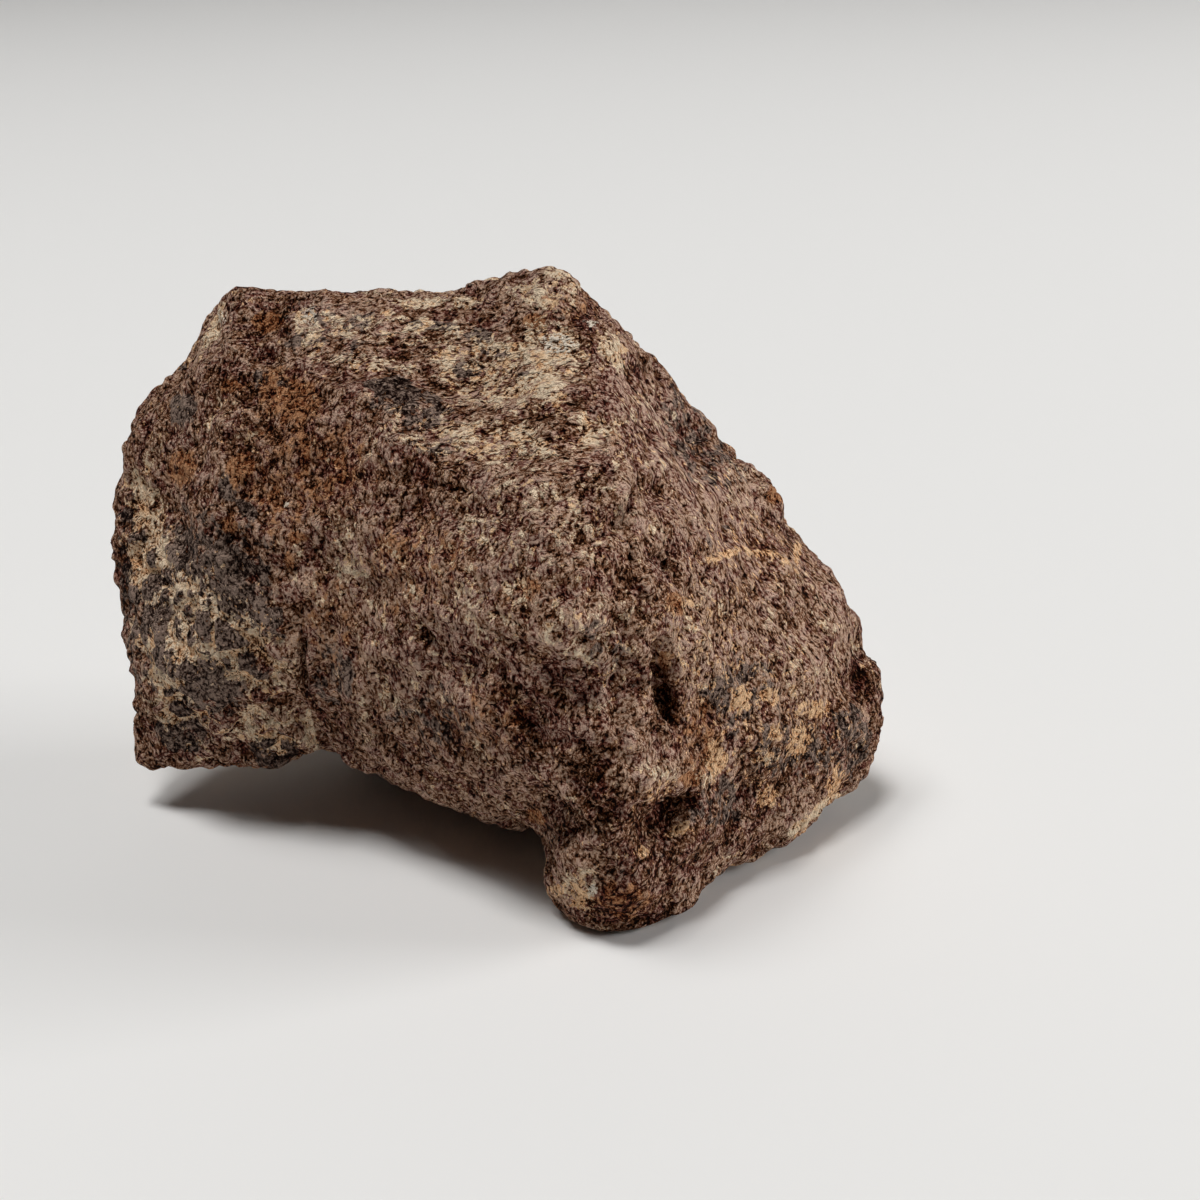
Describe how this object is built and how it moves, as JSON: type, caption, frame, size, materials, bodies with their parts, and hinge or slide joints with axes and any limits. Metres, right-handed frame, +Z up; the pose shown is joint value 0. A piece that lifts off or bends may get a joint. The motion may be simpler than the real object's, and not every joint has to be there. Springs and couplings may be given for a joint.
{
  "type": "meteorite fragment",
  "caption": "Rough wedge-shaped fragment of a weathered stone meteorite, with shallow thumbprint hollows and a chipped foot, that rests on a small flat spot.",
  "frame": {"origin": "on the ground under the middle of the stone's overall box, at the height of the flat spot that it rests on", "axes": "+Z up, +X along the stone's width, to the right of someone who faces its broad weathered front, +Y from that front towards the back"},
  "size_m": [0.037, 0.0264, 0.0264],
  "materials": {
    "weathered_stone": "matte"
  },
  "bodies": {
    "root": {"meteorite_fragment": "weathered_stone"}
  },
  "joints": []
}
